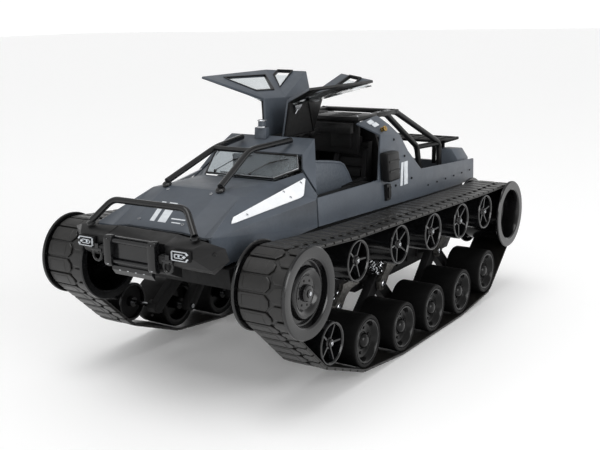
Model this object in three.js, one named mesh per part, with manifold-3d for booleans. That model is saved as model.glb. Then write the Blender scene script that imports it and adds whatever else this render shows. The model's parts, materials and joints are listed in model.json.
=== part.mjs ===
// A 1:12 radio-controlled tracked buggy: two rubber tracks on sprung wheels carry a raked,
// faceted armoured body with two gull-wing doors, standing open.
// Millimetres, +Z up. The nose points along -Y, the vehicle's left side is +X, and the
// origin is on the ground below the middle of the vehicle.
import * as THREE from "three";
import { ConvexGeometry } from "three/addons/geometries/ConvexGeometry.js";
import { mergeVertices } from "three/addons/utils/BufferGeometryUtils.js";
import Module from "manifold-3d";

// ---- Driving dimensions -------------------------------------------------------------------
const GAP = 0.3; // between pieces that touch
const SKIN = 2.2; // thickness of the painted body panels
const TRACK_OUTER = 122.5; // outer face of a drive wheel's flange, half the overall width
const FLANGE = 3.1; // thickness of a drive wheel's flange
const BELT_OUTER = 119;
const BELT_INNER = 79;
const BELT_THICKNESS = 2.8;
const DRUM_GAP = 0.5; // between the belt and the wheels that it wraps
const AXLE_RADIUS = 2;
const BORE_RADIUS = 2.5;
const TUB_HALF_WIDTH = 60;
const TUB_WALL = 3;
const HANGER_THICKNESS = 7; // bosses and links that carry the axles
const ROCKER_TILT_GAP = 1; // below the tyres, so that a rocker can tilt
const BAR_RADIUS = 2.6; // tubes of the bull bar and the windscreen guard

// Wheel centres, [y, z], and radii. The top run falls to the rear as the hull does.
const DRIVE = { y: -188, z: 98.1, flange: 35, drum: 29.4 };
const IDLER = { y: 211.8, z: 83.1, flange: 35, drum: 29.4 };
const GUIDE = { y: -150.4, z: 47.8, radius: 17.3 };
const TYRE_RADIUS = 22.2;
const ROAD_WHEELS = [
  [-94, 32.6],
  [-27.6, 26],
  [34.8, 26],
  [97.2, 26],
  [159.6, 32],
];
const ROLLER_RADIUS = 17.3;
const ROLLERS = [
  [-109.5, 104.4],
  [-37, 102.2],
  [29, 100.1],
  [92, 98],
  [152, 96],
];

// Suspension: pivot [y, z], and the road wheels that hang from it.
const SUSPENSION = [
  { name: "swing_arm", pivot: [-70, 60], wheels: [1] },
  { name: "front_rocker", pivot: [3.6, 54], wheels: [2, 3] },
  { name: "rear_rocker", pivot: [128.4, 58], wheels: [4, 5] },
];

// Body corners on the left side, named as on the drawing of the body.
const BODY = {
  noseCentre: [27, -216, 138.5],
  noseEdge: [46, -214, 135.5],
  beltlineFront: [57, -220, 138],
  chinFront: [55, -214, 112],
  kneeCentre: [27, -168, 162],
  kneeEdge: [45, -166, 158.6],
  cowlCorner: [37.4, -106.5, 160.8],
  glassFoot: [50, -83, 166],
  glassTop: [46, -77, 180],
  pillarFoot: [68, -90.5, 149.3],
  beltlineRear: [69, -92, 146],
  skirtRear: [70, -92, 122.5],
  headerCorner: [44.5, -55, 190.7],
  roofFold: [43, -20, 191.4],
  roofCorner: [42, 16, 196.5],
  shoulder: [64, 27, 186],
  sillRear: [68, 16, 147],
  hingeFront: [9.5, -52, 189.5],
  hingeRear: [9.5, 0, 190.5],
};
const HINGE = { x: 9.5, z: 188.2 };
const LEFT_DOOR_OPEN = 77.5; // degrees up from closed
const RIGHT_DOOR_OPEN = 86.5;

// ---- Solids -------------------------------------------------------------------------------
const wasm = await Module();
wasm.setup();

function solid(geometry) {
  const bare = geometry.clone();
  bare.deleteAttribute("normal");
  bare.deleteAttribute("uv");
  const merged = mergeVertices(bare, 1e-3);
  const mesh = new wasm.Mesh({
    numProp: 3,
    vertProperties: merged.attributes.position.array,
    triVerts: new Uint32Array(merged.index.array),
  });
  return new wasm.Manifold(mesh);
}

function geometryOf(body) {
  const mesh = body.getMesh();
  const positions = new Float32Array(mesh.numVert * 3);
  for (let i = 0; i < mesh.numVert; i++) {
    for (let k = 0; k < 3; k++) {
      positions[3 * i + k] = mesh.vertProperties[mesh.numProp * i + k];
    }
  }
  const geometry = new THREE.BufferGeometry();
  geometry.setAttribute("position", new THREE.BufferAttribute(positions, 3));
  geometry.setIndex(new THREE.BufferAttribute(mesh.triVerts, 1));
  return geometry;
}

const join = (...parts) => geometryOf(parts.map(solid).reduce((a, b) => a.add(b)));
const cut = (whole, ...tools) => geometryOf(tools.map(solid).reduce((a, b) => a.subtract(b), solid(whole)));

// The mirror image across the vehicle's middle plane.
function mirrored(geometry) {
  const flipped = mergeVertices(geometry.clone().deleteAttribute("normal").deleteAttribute("uv"), 1e-4);
  flipped.scale(-1, 1, 1);
  const index = flipped.index.array;
  for (let i = 0; i < index.length; i += 3) {
    [index[i + 1], index[i + 2]] = [index[i + 2], index[i + 1]];
  }
  return flipped;
}

const vector = (p) => new THREE.Vector3(...p);
const mirror = (p) => [-p[0], p[1], p[2]];
const moved = (p, dx, dy, dz) => [p[0] + dx, p[1] + dy, p[2] + dz];
// A weighted sum of points, from pairs of a point and its weight.
const mix = (...terms) => terms.reduce((sum, [p, w]) => sum.map((v, i) => v + p[i] * w), [0, 0, 0]);

function block(x0, x1, y0, y1, z0, z1) {
  return new THREE.BoxGeometry(x1 - x0, y1 - y0, z1 - z0).translate((x0 + x1) / 2, (y0 + y1) / 2, (z0 + z1) / 2);
}

const wedge = (...points) => new ConvexGeometry(points.map(vector));

// A round bar along X.
function bar(x0, x1, y, z, radius, sides = 8) {
  return new THREE.CylinderGeometry(radius, radius, x1 - x0, sides)
    .rotateZ(-Math.PI / 2)
    .translate((x0 + x1) / 2, y, z);
}

// A straight rod between two points.
function rod(from, to, radius, sides = 6) {
  const a = vector(from);
  const b = vector(to);
  const length = a.distanceTo(b);
  const turn = new THREE.Quaternion().setFromUnitVectors(new THREE.Vector3(0, 1, 0), b.clone().sub(a).normalize());
  return new THREE.CylinderGeometry(radius, radius, length, sides)
    .applyQuaternion(turn)
    .translate((a.x + b.x) / 2, (a.y + b.y) / 2, (a.z + b.z) / 2);
}

// A bent tube: straight rods with a ball at each bend.
function bentTube(points, radius) {
  const pieces = [];
  for (let i = 1; i < points.length; i++) {
    pieces.push(rod(points[i - 1], points[i], radius));
  }
  for (const p of points.slice(1, -1)) {
    pieces.push(new THREE.IcosahedronGeometry(radius * 1.04, 0).translate(...p));
  }
  return join(...pieces);
}

// A solid turned about an axle along X. The profile is [radius, x] from axis to axis.
function turned(profile, y, z, sides) {
  const points = profile.map(([radius, x]) => new THREE.Vector2(radius, x));
  return new THREE.LatheGeometry(points, sides).rotateZ(-Math.PI / 2).translate(0, y, z);
}

// A plate in the Y-Z plane, from an outline of [y, z], between two X planes.
function sidePlate(outline, x0, x1, hole) {
  const shape = new THREE.Shape(outline.map((p) => new THREE.Vector2(...p)));
  if (hole) shape.holes.push(new THREE.Path(hole.map((p) => new THREE.Vector2(...p))));
  const axes = new THREE.Matrix4().makeBasis(
    new THREE.Vector3(0, 1, 0),
    new THREE.Vector3(0, 0, 1),
    new THREE.Vector3(1, 0, 0),
  );
  return new THREE.ExtrudeGeometry(shape, { depth: x1 - x0, bevelEnabled: false })
    .applyMatrix4(axes)
    .translate(x0, 0, 0);
}

// A flat link with round ends between two centres in the Y-Z plane.
function link([y0, z0], r0, [y1, z1], r1, x0, x1) {
  const points = [];
  for (let i = 0; i < 8; i++) {
    const angle = (Math.PI * i) / 4;
    for (const x of [x0, x1]) {
      points.push([x, y0 + r0 * Math.cos(angle), z0 + r0 * Math.sin(angle)]);
      points.push([x, y1 + r1 * Math.cos(angle), z1 + r1 * Math.sin(angle)]);
    }
  }
  return wedge(...points);
}

// A panel of even thickness under a net of facets. Corners are listed so that a facet turns
// anticlockwise seen from outside; "-name" is the corner mirrored to the right side.
function panel(corners, facets, thickness, sunk = 0) {
  const names = [...new Set(facets.flat())];
  const place = new Map(names.map((n) => [n, vector(n[0] === "-" ? mirror(corners[n.slice(1)]) : corners[n])]));
  const triangles = facets.flatMap((f) => f.slice(2).map((_, i) => [f[0], f[i + 1], f[i + 2]]));
  const normal = (t) => {
    const [a, b, c] = t.map((n) => place.get(n));
    return b.clone().sub(a).cross(c.clone().sub(a)).normalize();
  };
  const shifted = (n, depth) => {
    const around = triangles.filter((t) => t.includes(n)).map(normal);
    const mean = around.reduce((sum, v) => sum.add(v), new THREE.Vector3()).normalize();
    const lean = Math.min(...around.map((v) => v.dot(mean)));
    return place.get(n).clone().addScaledVector(mean, -depth / Math.max(lean, 0.6));
  };
  const top = new Map(names.map((n) => [n, shifted(n, sunk)]));
  const under = new Map(names.map((n) => [n, shifted(n, sunk + thickness)]));
  const positions = [];
  const add = (...points) => points.forEach((p) => positions.push(p.x, p.y, p.z));
  const edges = new Set(triangles.flatMap(([a, b, c]) => [a + ">" + b, b + ">" + c, c + ">" + a]));
  for (const [a, b, c] of triangles) {
    add(top.get(a), top.get(b), top.get(c));
    add(under.get(a), under.get(c), under.get(b));
  }
  for (const edge of edges) {
    const [a, b] = edge.split(">");
    if (edges.has(b + ">" + a)) continue;
    add(top.get(b), top.get(a), under.get(a));
    add(top.get(b), under.get(a), under.get(b));
  }
  const geometry = new THREE.BufferGeometry();
  geometry.setAttribute("position", new THREE.Float32BufferAttribute(positions, 3));
  return geometry;
}

// ---- Assembly -----------------------------------------------------------------------------
const group = new THREE.Group();

function add(name, geometry, [color, roughness, metalness]) {
  const mesh = new THREE.Mesh(geometry, new THREE.MeshStandardMaterial({ color, roughness, metalness }));
  mesh.name = name;
  group.add(mesh);
}

function addPair(name, geometry, finish) {
  add(name + "_left", geometry, finish);
  add(name + "_right", mirrored(geometry), finish);
}

const PAINT = [0x59616b, 0.45, 0.1];
const BLACK = [0x141416, 0.4, 0];
const DARK = [0x222428, 0.6, 0];
const RUBBER = [0x1b1b1b, 0.85, 0];
const METAL = [0x8c8f94, 0.3, 0.9];
const CLEAR = [0xd8e0e4, 0.05, 0];
const LAMP = [0xe8eef2, 0.08, 0];

// ---- Wheels and tracks --------------------------------------------------------------------
const AXLE_END = TUB_HALF_WIDTH + 2;

// A drum with a flange on each side of the belt. The hub lies at the bottom of a dish.
function flangedWheel({ y, z, flange, drum }, [rim, dish]) {
  const inner = TRACK_OUTER - 47;
  const wheel = turned(
    [
      [0, inner],
      [flange, inner],
      [flange, inner + FLANGE],
      [drum, inner + FLANGE],
      [drum, TRACK_OUTER - FLANGE],
      [flange, TRACK_OUTER - FLANGE],
      [flange, TRACK_OUTER],
      [rim, TRACK_OUTER],
      [rim - 2, TRACK_OUTER - dish],
      [14, TRACK_OUTER - dish],
      [12, TRACK_OUTER - dish - 2],
      [4, TRACK_OUTER - dish - 2],
      [4, TRACK_OUTER - dish + 1],
      [0, TRACK_OUTER - dish + 1],
    ],
    y,
    z,
    24,
  );
  return join(wheel, bar(AXLE_END, inner + 1, y, z, AXLE_RADIUS));
}

function roadWheel([y, z]) {
  const outer = BELT_OUTER - 0.4;
  const wheel = turned(
    [
      [0, BELT_INNER + 3],
      [TYRE_RADIUS - 1, BELT_INNER + 3],
      [TYRE_RADIUS, BELT_INNER + 4],
      [TYRE_RADIUS, outer - 1],
      [TYRE_RADIUS - 1, outer],
      [17.5, outer],
      [16, outer - 3],
      [7, outer - 5],
      [5, outer - 1.5],
      [0, outer - 1],
    ],
    y,
    z,
    18,
  );
  return join(wheel, bar(AXLE_END + 3, BELT_INNER + 4, y, z, AXLE_RADIUS));
}

// A rim with five spokes and a long hub.
function spokedWheel([y, z], radius) {
  const outer = BELT_OUTER - 0.6;
  const rim = turned(
    [
      [radius - 2.4, outer - 30],
      [radius, outer - 30],
      [radius, outer],
      [radius - 2.4, outer],
      [radius - 2.4, outer - 30],
    ],
    y,
    z,
    16,
  );
  const pieces = [rim, bar(outer - 32, outer, y, z, 4.2)];
  for (let i = 0; i < 5; i++) {
    const spoke = block(outer - 7, outer - 2, -1.3, 1.3, 1, radius - 1.2);
    pieces.push(spoke.rotateX((i * 2 * Math.PI) / 5).translate(0, y, z));
  }
  pieces.push(bar(AXLE_END, outer - 31, y, z, AXLE_RADIUS));
  return join(...pieces);
}

// The loop that a belt makes round the wheels, [y, z] from the top front corner onwards:
// arcs round the wheels, joined by tangents, and points where it lies on the rollers.
function beltOutline(offset) {
  const wraps = [
    { y: DRIVE.y, z: DRIVE.z, r: DRIVE.drum + DRUM_GAP },
    { y: GUIDE.y, z: GUIDE.z, r: GUIDE.radius + DRUM_GAP },
    ...[0, 1, 3, 4].map((i) => ({ y: ROAD_WHEELS[i][0], z: ROAD_WHEELS[i][1], r: TYRE_RADIUS + ROCKER_TILT_GAP })),
    { y: IDLER.y, z: IDLER.z, r: IDLER.drum + DRUM_GAP },
    ...[4, 2, 0].map((i) => ({ y: ROLLERS[i][0], z: ROLLERS[i][1] + ROLLER_RADIUS + DRUM_GAP, r: 0 })),
  ];
  const facing = (a, b) => {
    const span = Math.hypot(b.y - a.y, b.z - a.z);
    return Math.atan2(b.z - a.z, b.y - a.y) - Math.acos((a.r - b.r) / span);
  };
  const turn = Math.PI * 2;
  return wraps.flatMap((wheel, i) => {
    const from = facing(wraps[(i + wraps.length - 1) % wraps.length], wheel);
    const raw = (facing(wheel, wraps[(i + 1) % wraps.length]) - from) % turn;
    const sweep = raw < -Math.PI ? raw + turn : raw > Math.PI ? raw - turn : raw;
    const steps = Math.max(0, Math.ceil(sweep / 0.2));
    return Array.from({ length: steps + 1 }, (_, k) => {
      const angle = steps ? from + (sweep * k) / steps : from + sweep / 2;
      return [wheel.y + (wheel.r + offset) * Math.cos(angle), wheel.z + (wheel.r + offset) * Math.sin(angle)];
    });
  });
}

addPair("track_belt", sidePlate(beltOutline(BELT_THICKNESS), BELT_INNER, BELT_OUTER, beltOutline(0)), RUBBER);
addPair("drive_wheel", flangedWheel(DRIVE, [27, 3]), BLACK);
addPair("idler_wheel", flangedWheel(IDLER, [27, 16]), BLACK);
addPair("guide_wheel", spokedWheel([GUIDE.y, GUIDE.z], GUIDE.radius), BLACK);
ROAD_WHEELS.forEach((place, i) => addPair("road_wheel_" + (i + 1), roadWheel(place), BLACK));
ROLLERS.forEach((place, i) => addPair("return_roller_" + (i + 1), spokedWheel(place, ROLLER_RADIUS), BLACK));

// ---- Suspension ---------------------------------------------------------------------------
function suspensionArm({ pivot, wheels }) {
  const x0 = TUB_HALF_WIDTH + HANGER_THICKNESS + GAP;
  const x1 = x0 + 8;
  const hubs = wheels.map((n) => ROAD_WHEELS[n - 1]);
  const arm = join(...hubs.map((hub) => link(pivot, 6, hub, 5.5, x0, x1)));
  const bores = hubs.map(([y, z]) => bar(x0 - 1, x1 + 1, y, z, BORE_RADIUS));
  return join(cut(arm, ...bores), bar(TUB_HALF_WIDTH + 1, x0 + 1, pivot[0], pivot[1], AXLE_RADIUS));
}

SUSPENSION.forEach((unit) => addPair(unit.name, suspensionArm(unit), METAL));

// ---- Chassis tub --------------------------------------------------------------------------
// A closed-bottom tub with a belly that rises to the nose, open at the top, and bosses on its
// sides for the axles and pivots.
function chassisTub() {
  const profile = [
    [-203, 110.5],
    [-200.5, 94.5],
    [-150, 88],
    [-60, 62],
    [-12, 44],
    [192, 44],
    [228, 76],
    [230, 108],
    [108, 113.5],
    [-90, 118.5],
  ];
  const inside = [
    [-190, 130],
    [-190, 98],
    [-148, 92],
    [-58, 66],
    [-11, 48],
    [190, 48],
    [223, 78],
    [225, 130],
  ];
  const half = TUB_HALF_WIDTH;
  const tub = cut(sidePlate(profile, -half, half), sidePlate(inside, -half + TUB_WALL, half - TUB_WALL));
  const out = half + HANGER_THICKNESS;
  const fixed = [[DRIVE.y, DRIVE.z], [IDLER.y, IDLER.z], [GUIDE.y, GUIDE.z], ...ROLLERS];
  const left = [
    ...fixed.map(([y, z]) => bar(half - 2, out, y, z, 6, 8)),
    ...SUSPENSION.map(({ pivot }) => bar(half - 2, out, pivot[0], pivot[1], 7, 8)),
    link([DRIVE.y, DRIVE.z], 8, [-172, 103], 6, half - 2.9, half + 3),
    link([GUIDE.y, GUIDE.z], 5, [-100, 84], 7, half - 2.9, half + 4),
    link(SUSPENSION[0].pivot, 8, [-60, 78], 8, half - 2.9, half + 4),
  ];
  const bores = [...fixed, ...SUSPENSION.map(({ pivot }) => pivot)].map(([y, z]) =>
    bar(half + 0.5, out + 1, y, z, BORE_RADIUS),
  );
  const whole = join(tub, ...left, ...left.map(mirrored));
  return cut(whole, ...bores, ...bores.map(mirrored));
}

add("chassis_tub", chassisTub(), DARK);
add("battery_pack", block(-24, 24, 20, 160, 49, 75), DARK);

function gearbox() {
  const motors = [-22, 22].map((x) => rod([x, -128, 104], [x, -92, 92], 12, 12));
  return join(wedge(
    [-50, -184, 118], [50, -184, 118], [-50, -184, 99.5], [50, -184, 99.5],
    [-50, -124, 118], [50, -124, 118], [-50, -124, 88.5], [50, -124, 88.5],
  ), ...motors);
}

add("gearbox_and_motors", gearbox(), DARK);

// ---- Painted body -------------------------------------------------------------------------
const HOOD_FACETS = [
  ["noseCentre", "kneeCentre", "-kneeCentre", "-noseCentre"],
  ["noseCentre", "noseEdge", "kneeEdge", "kneeCentre"],
  ["kneeCentre", "cowlCorner", "-cowlCorner", "-kneeCentre"],
  ["kneeCentre", "kneeEdge", "cowlCorner"],
  ["noseEdge", "beltlineFront", "kneeEdge"],
  ["beltlineFront", "beltlineRear", "kneeEdge"],
  ["kneeEdge", "beltlineRear", "cowlCorner"],
  ["cowlCorner", "beltlineRear", "glassFoot"],
  ["glassFoot", "beltlineRear", "pillarFoot"],
  ["beltlineFront", "chinFront", "skirtRear", "beltlineRear"],
];
// The same facet on the right side, turned the other way round.
const otherSide = (facet) => facet.map((n) => "-" + n).reverse();
const isMiddle = (facet) => facet.some((n) => n[0] === "-");
const bothSides = (facets) => facets.flatMap((f) => (isMiddle(f) ? [f] : [f, otherSide(f)]));

add("hood_shell", panel(BODY, bothSides(HOOD_FACETS), SKIN), PAINT);

function cabinFrame() {
  const corners = {
    glassFoot: mix([BODY.glassFoot, 0.8], [BODY.glassTop, 0.2]),
    pillarFoot: mix([BODY.pillarFoot, 0.92], [BODY.headerCorner, 0.08]),
    glassTop: BODY.glassTop,
    headerCorner: BODY.headerCorner,
  };
  const front = panel(
    corners,
    bothSides([
      ["glassFoot", "pillarFoot", "headerCorner", "glassTop"],
      ["-glassTop", "glassTop", "headerCorner", "-headerCorner"],
    ]),
    SKIN,
  );
  const spineWidth = HINGE.x - 3;
  const spine = block(-spineWidth, spineWidth, -57.5, 24, 185, 190);
  const crown = block(-38, 38, 17.5, 24, 186, 195.5);
  return join(front, spine, crown, block(-43, 43, -57, -53.4, 184.5, 189));
}

add("cabin_frame", cabinFrame(), PAINT);

const SIDE = {
  ...BODY,
  skirtFront: [70, -90, 122.5],
  sillFront: [68, -88.6, 146.6],
  skirtMiddle: [70, 16, 118.5],
  skirtLower: [70, 108, 115],
  panelTopRear: [45, 57, 200],
  rearEdgeHigh: [60, 54, 192],
  rearEdgeUpper: [64, 69, 180.5],
  rearEdgeLower: [66, 82, 164],
  bedCorner: [68, 108, 142.6],
  tailTop: [69, 238, 135.5],
  tailFoot: [69.5, 238, 111.5],
  roofRear: [44.5, 18, 196.5],
  doorPost: [64.2, 28.5, 186],
  doorPostFoot: [68, 18, 145],
};
const SIDE_FACETS = [
  ["skirtFront", "skirtMiddle", "doorPostFoot", "sillFront"],
  ["skirtMiddle", "skirtLower", "bedCorner", "doorPostFoot"],
  ["doorPostFoot", "bedCorner", "rearEdgeLower"],
  ["doorPostFoot", "rearEdgeLower", "rearEdgeUpper"],
  ["doorPostFoot", "rearEdgeUpper", "doorPost"],
  ["doorPost", "rearEdgeUpper", "rearEdgeHigh"],
  ["doorPost", "rearEdgeHigh", "panelTopRear", "roofRear"],
  ["skirtLower", "tailFoot", "tailTop", "bedCorner"],
];

addPair("side_panel", panel(SIDE, SIDE_FACETS, SKIN), PAINT);

function rearDeck() {
  const half = 66.5;
  const floor = wedge(
    [-half, 62, 122], [half, 62, 122], [-half, 62, 125], [half, 62, 125],
    [-half, 234, 113], [half, 234, 113], [-half, 234, 116], [half, 234, 116],
  );
  const tail = block(-half, half, 231, 237, 110.5, 131);
  const engineCover = wedge(
    [-36, 120, 120], [36, 120, 120], [-36, 186, 116], [36, 186, 116],
    [-31, 126, 140], [31, 126, 140], [-31, 182, 138], [31, 182, 138],
  );
  const locker = wedge(
    [40, 205, 116], [64, 205, 116], [40, 205, 149], [57, 205, 149], [64, 205, 139],
    [40, 234, 115], [64, 234, 115], [40, 234, 147], [57, 234, 147], [64, 234, 137],
  );
  return join(floor, tail, engineCover, locker, mirrored(locker));
}

add("rear_deck", rearDeck(), PAINT);

// ---- Cabin --------------------------------------------------------------------------------
function cabinInterior() {
  const half = 62;
  const floor = block(-half, half, -100, 58, 124, 127);
  const bulkhead = wedge(
    [-60, 54, 126], [60, 54, 126], [-60, 58, 126], [60, 58, 126],
    [-42, 54, 190], [42, 54, 190], [-42, 58, 190], [42, 58, 190],
  );
  const dash = wedge(
    [-50, -99, 126], [50, -99, 126], [-50, -70, 126], [50, -70, 126],
    [-36, -99, 154], [36, -99, 154], [-40, -80, 158], [40, -80, 158], [-42, -70, 150], [42, -70, 150],
  );
  const seats = [-29, 29].flatMap((x) => [
    block(x - 20, x + 20, -10, 34, 126, 138),
    wedge(
      [x - 20, 28, 130], [x + 20, 28, 130], [x - 20, 40, 130], [x + 20, 40, 130],
      [x - 15, 42, 176], [x + 15, 42, 176], [x - 15, 50, 176], [x + 15, 50, 176],
    ),
  ]);
  const tunnel = block(-8, 8, -75, 56, 126, 136);
  return join(floor, bulkhead, dash, tunnel, ...seats);
}

add("cabin_interior", cabinInterior(), DARK);

function steeringWheel() {
  const ring = new THREE.TorusGeometry(11, 1.3, 6, 16);
  const spokes = [block(-11, 11, -1.2, 1.2, -0.8, 0.8), block(-1.2, 1.2, -11, 0, -0.8, 0.8)];
  const column = rod([0, 0, -23], [0, 0, 1], 1.8);
  const wheel = join(ring, ...spokes, column);
  return wheel.rotateX(-1.05).translate(29, -48.5, 160);
}

add("steering_wheel", steeringWheel(), BLACK);

const GLASS = {
  foot: [35.5, -105.5, 162.2],
  side: [46.6, -84.5, 168],
  top: [42.6, -79.5, 178.6],
};

add("windscreen_glass", panel(GLASS, bothSides([["foot", "top", "-top", "-foot"], ["foot", "side", "top"]]), 1.2), CLEAR);

// ---- Doors --------------------------------------------------------------------------------
const DOOR_FACETS = [
  ["hingeFront", "headerCorner", "roofFold", "hingeRear"],
  ["hingeRear", "roofFold", "roofCorner"],
  ["headerCorner", "pillarFoot", "sillRear", "roofFold"],
  ["roofFold", "sillRear", "shoulder"],
  ["roofFold", "shoulder", "roofCorner"],
];
const DOOR = {
  ...BODY,
  headerCorner: moved(BODY.headerCorner, 0, 2.6, 0),
  pillarFoot: moved(BODY.pillarFoot, 0, 3, 0.6),
};
const MAIN_WINDOW = [
  [65, -60.7, 154.1],
  [63.2, 0.7, 156],
  [50.4, -21.2, 179.3],
  [51.4, -46.7, 178.2],
  [63.2, -60.5, 157.3],
];
const QUARTER_WINDOW = [
  [62.4, 9.7, 160.3],
  [66.4, 17, 160.2],
  [65.1, 21, 173.6],
  [51.7, -6.7, 177.3],
];

// A prism through the skin under a window's outline.
function opening(outline) {
  const [a, b, c] = outline.map(vector);
  const reach = b.clone().sub(a).cross(c.clone().sub(a)).normalize().multiplyScalar(6);
  return new ConvexGeometry(outline.flatMap((p) => [vector(p).add(reach), vector(p).sub(reach)]));
}

function doorSkin() {
  const skin = panel(DOOR, DOOR_FACETS, SKIN);
  return cut(skin, opening(MAIN_WINDOW), opening(QUARTER_WINDOW));
}

// One clear moulding lies behind both windows, folded along the bar between them.
function doorGlazing() {
  const toward = (p, q, inset) => mix([p, 1 - inset], [q, inset]);
  const centre = mix([DOOR.pillarFoot, 0.3], [DOOR.sillRear, 0.3], [DOOR.roofFold, 0.4]);
  const corners = {
    front: mix([DOOR.pillarFoot, 0.74], [DOOR.sillRear, 0.2], [DOOR.headerCorner, 0.06]),
    foot: toward(DOOR.sillRear, centre, 0.05),
    fold: toward(DOOR.roofFold, centre, 0.12),
    head: toward(DOOR.headerCorner, centre, 0.12),
    rear: mix([DOOR.shoulder, 0.93], [DOOR.sillRear, 0.04], [DOOR.roofFold, 0.03]),
  };
  return panel(corners, [["head", "front", "foot", "fold"], ["fold", "foot", "rear"]], 0.8, SKIN + 2.2);
}

function opened(geometry, degrees) {
  const turn = new THREE.Matrix4().makeRotationY((-degrees * Math.PI) / 180);
  return geometry.clone().translate(-HINGE.x, 0, -HINGE.z).applyMatrix4(turn).translate(HINGE.x, 0, HINGE.z);
}

for (const [side, degrees] of [["left", LEFT_DOOR_OPEN], ["right", RIGHT_DOOR_OPEN]]) {
  const place = (geometry) => (side === "left" ? opened(geometry, degrees) : mirrored(opened(geometry, degrees)));
  add("door_" + side, place(doorSkin()), PAINT);
  add("door_window_" + side, place(doorGlazing()), CLEAR);
}

// ---- Bars, bumper and fittings ------------------------------------------------------------
function frontBumper() {
  const right = (points) => points.map(mirror);
  const wing = [
    [30, -240, 134], [30, -240, 120], [30, -225, 139], [30, -222, 112],
    [56, -240, 134], [56, -240, 126.4], [62, -232, 138.5], [63.5, -228.5, 116.3], [62, -222.5, 112],
    [75, -226, 134], [76, -222.5, 124],
  ];
  const middle = [
    [-31, -238, 134], [31, -238, 134], [-31, -238, 112], [31, -238, 112],
    [-31, -224, 139], [31, -224, 139], [-31, -222.5, 105], [31, -222.5, 105],
  ];
  return join(wedge(...wing), wedge(...right(wing)), wedge(...middle));
}

add("front_bumper", frontBumper(), BLACK);

const BULL_BAR = [[52, -232, 141.6], [37, -222, 158.5], [-37, -222, 158.5], [-52, -232, 141.6]];
add("bull_bar", bentTube(BULL_BAR, BAR_RADIUS), BLACK);

function winchHousing() {
  const front = -246.8;
  const posts = [-25.5, 18.5].map((x) => block(x, x + 7, front, -240.5, 112, 136.5));
  const rails = [[113, 118], [130, 135]].map(([z0, z1]) => block(-20, 20, -245.5, -240.5, z0, z1));
  return join(...posts, ...rails, block(-20, 20, -243, -240.5, 116, 132));
}

add("winch_housing", winchHousing(), BLACK);
addPair("headlight", block(38.8, 55.6, -245, -240.4, 124.5, 132.5), LAMP);

function windscreenGuard() {
  const leg = [[27.4, -168, 165.2], [17.8, -113.9, 187], [26.2, -64.5, 189.4]];
  const arch = bentTube(leg, BAR_RADIUS);
  const cross = rod([-18.2, -115.6, 186.4], [18.2, -115.6, 186.4], 2);
  return join(arch, mirrored(arch), cross);
}

add("windscreen_guard", windscreenGuard(), BLACK);

function rollCage() {
  const roof = cut(block(-43, 43, 24.6, 107, 196.8, 201), block(-34, 34, 62, 99, 190, 206));
  const rearKnee = [47, 194, 157];
  const rearFoot = [47, 196, 119.5];
  const frontKnee = [39.5, 156, 157];
  const frontFoot = [42, 160, 121.5];
  const rails = [
    rod([39.5, 104, 198.8], rearKnee, 3),
    rod(moved(rearKnee, 0, 0, 1), rearFoot, 3),
    rod([38.5, 86, 198.8], frontKnee, 3),
    rod(moved(frontKnee, 0, 0, 1), frontFoot, 3),
    rod(frontKnee, rearKnee, 2.6),
    block(41, 53, 190, 202, 119.2, 121.2),
    block(37, 48, 154, 166, 120.9, 122.9),
  ];
  return join(roof, ...rails, ...rails.map(mirrored));
}

add("roll_cage", rollCage(), BLACK);

function rearRack() {
  const tray = block(-51, 51, 200, 238, 155.5, 158.5);
  const legs = [-34, 34].flatMap((x) => [209, 232].map((y) => block(x - 2, x + 2, y, y + 3, 131.4, 156)));
  const feet = [-34, 34].map((x) => block(x - 2, x + 2, 209, 235, 131.4, 134));
  return join(tray, ...legs, ...feet);
}

add("rear_rack", rearRack(), DARK);

const sideBox = [20.5, 42].flatMap((y) => [[69.2, y, 143], [78.5, y, 143], [66.8, y, 170], [77, y, 170]]);
addPair("side_box", wedge(...sideBox), BLACK);

function snorkel() {
  const base = wedge(...[-15, -3].flatMap((x) => [[x, -61, 188.4], [x, -54.8, 191.4], [x, -60, 198], [x, -54.8, 198]]));
  return join(base, rod([-9, -57.5, 197], [-9, -57.5, 204.5], 3.4, 12));
}

add("snorkel", snorkel(), PAINT);

export default group;
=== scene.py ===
# The looks of a 1:12 tracked buggy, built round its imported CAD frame. Lengths are in
# millimetres until a piece is made, which is in metres. The nose points along -Y and the
# vehicle's left side is +X.
import json
import math

import bmesh
import bpy
from mathutils import Matrix, Vector
from mathutils.bvhtree import BVHTree


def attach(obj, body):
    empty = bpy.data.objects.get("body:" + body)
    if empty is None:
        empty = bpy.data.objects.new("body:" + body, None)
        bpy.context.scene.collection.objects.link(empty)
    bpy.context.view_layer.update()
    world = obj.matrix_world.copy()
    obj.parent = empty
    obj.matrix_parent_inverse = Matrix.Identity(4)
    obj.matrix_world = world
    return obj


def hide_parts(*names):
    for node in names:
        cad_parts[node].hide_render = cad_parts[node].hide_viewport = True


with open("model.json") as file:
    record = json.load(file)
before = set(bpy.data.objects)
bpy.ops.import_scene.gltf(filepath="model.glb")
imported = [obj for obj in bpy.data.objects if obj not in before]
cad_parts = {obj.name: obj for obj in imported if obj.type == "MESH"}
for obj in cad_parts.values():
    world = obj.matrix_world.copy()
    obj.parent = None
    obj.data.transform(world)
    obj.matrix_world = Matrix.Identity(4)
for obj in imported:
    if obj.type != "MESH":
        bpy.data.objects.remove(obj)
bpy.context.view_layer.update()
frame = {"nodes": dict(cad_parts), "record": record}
NODES = frame["nodes"]
SLOTS = {row["node"]: row["material_slot"] for row in frame["record"]["subparts"]}
MM = 0.001

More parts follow.
